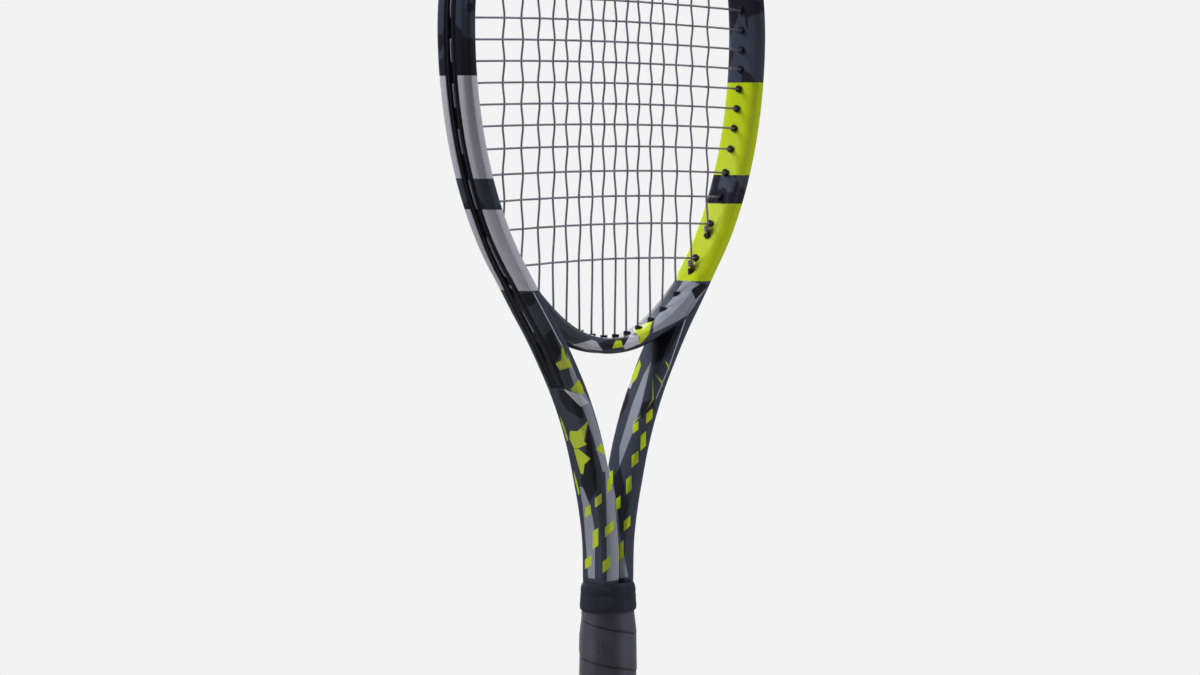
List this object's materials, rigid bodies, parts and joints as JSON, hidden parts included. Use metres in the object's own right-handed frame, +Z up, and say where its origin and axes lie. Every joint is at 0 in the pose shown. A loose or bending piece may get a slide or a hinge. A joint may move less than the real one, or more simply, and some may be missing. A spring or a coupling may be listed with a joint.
{
  "type": "tennis racket",
  "caption": "Strung tennis racket: hollow egg-shaped head, open throat with a curved bridge, octagonal wrapped handle with rubber collar and butt cap.",
  "frame": {"origin": "centre of the butt face, under the handle", "axes": "+X across the head, +Y through the string bed away from the front, +Z up the handle to the tip of the head"},
  "size_m": [0.2704, 0.0382, 0.685],
  "materials": {
    "frame_paint": "gloss clear coat over graphic paint on carbon laminate",
    "core_foam": "closed-cell foam",
    "guard_plastic": "moulded nylon, satin",
    "grommet_plastic": "moulded nylon, satin",
    "string_mains": "polyester monofilament",
    "string_crosses": "polyester monofilament",
    "pallet_foam": "moulded polyurethane foam skin",
    "cap_plastic": "moulded nylon, fine texture",
    "staple_steel": "zinc plated wire",
    "grip_leather": "smooth synthetic leather, slight sheen",
    "tape_film": "vinyl finishing tape",
    "collar_rubber": "moulded elastomer, satin"
  },
  "bodies": {
    "racket": {"frame_tube": "frame_paint", "throat_bridge": "frame_paint", "bridge_core": "core_foam", "bumper_guard": "guard_plastic", "grommet_strip_left": "grommet_plastic", "grommet_strip_right": "grommet_plastic", "throat_grommet_strip": "grommet_plastic", "main_string": "string_mains", "cross_string": "string_crosses", "handle_pallet": "pallet_foam", "handle_plug_left": "core_foam", "handle_plug_right": "core_foam", "butt_cap": "cap_plastic", "butt_staple_left": "staple_steel", "butt_staple_right": "staple_steel", "grip_wrap": "grip_leather", "finishing_tape": "tape_film"},
    "collar": {"grip_collar": "collar_rubber"},
    "door": {"butt_door": "cap_plastic"}
  },
  "joints": [
    {"name": "collar_slide", "type": "slide", "parent": "racket", "child": "collar", "axis": [0, 0, 1], "range_m": [0, 0.018]},
    {"name": "door_pull", "type": "slide", "parent": "racket", "child": "door", "axis": [0, 0, -1], "range_m": [0, 0.012]}
  ]
}
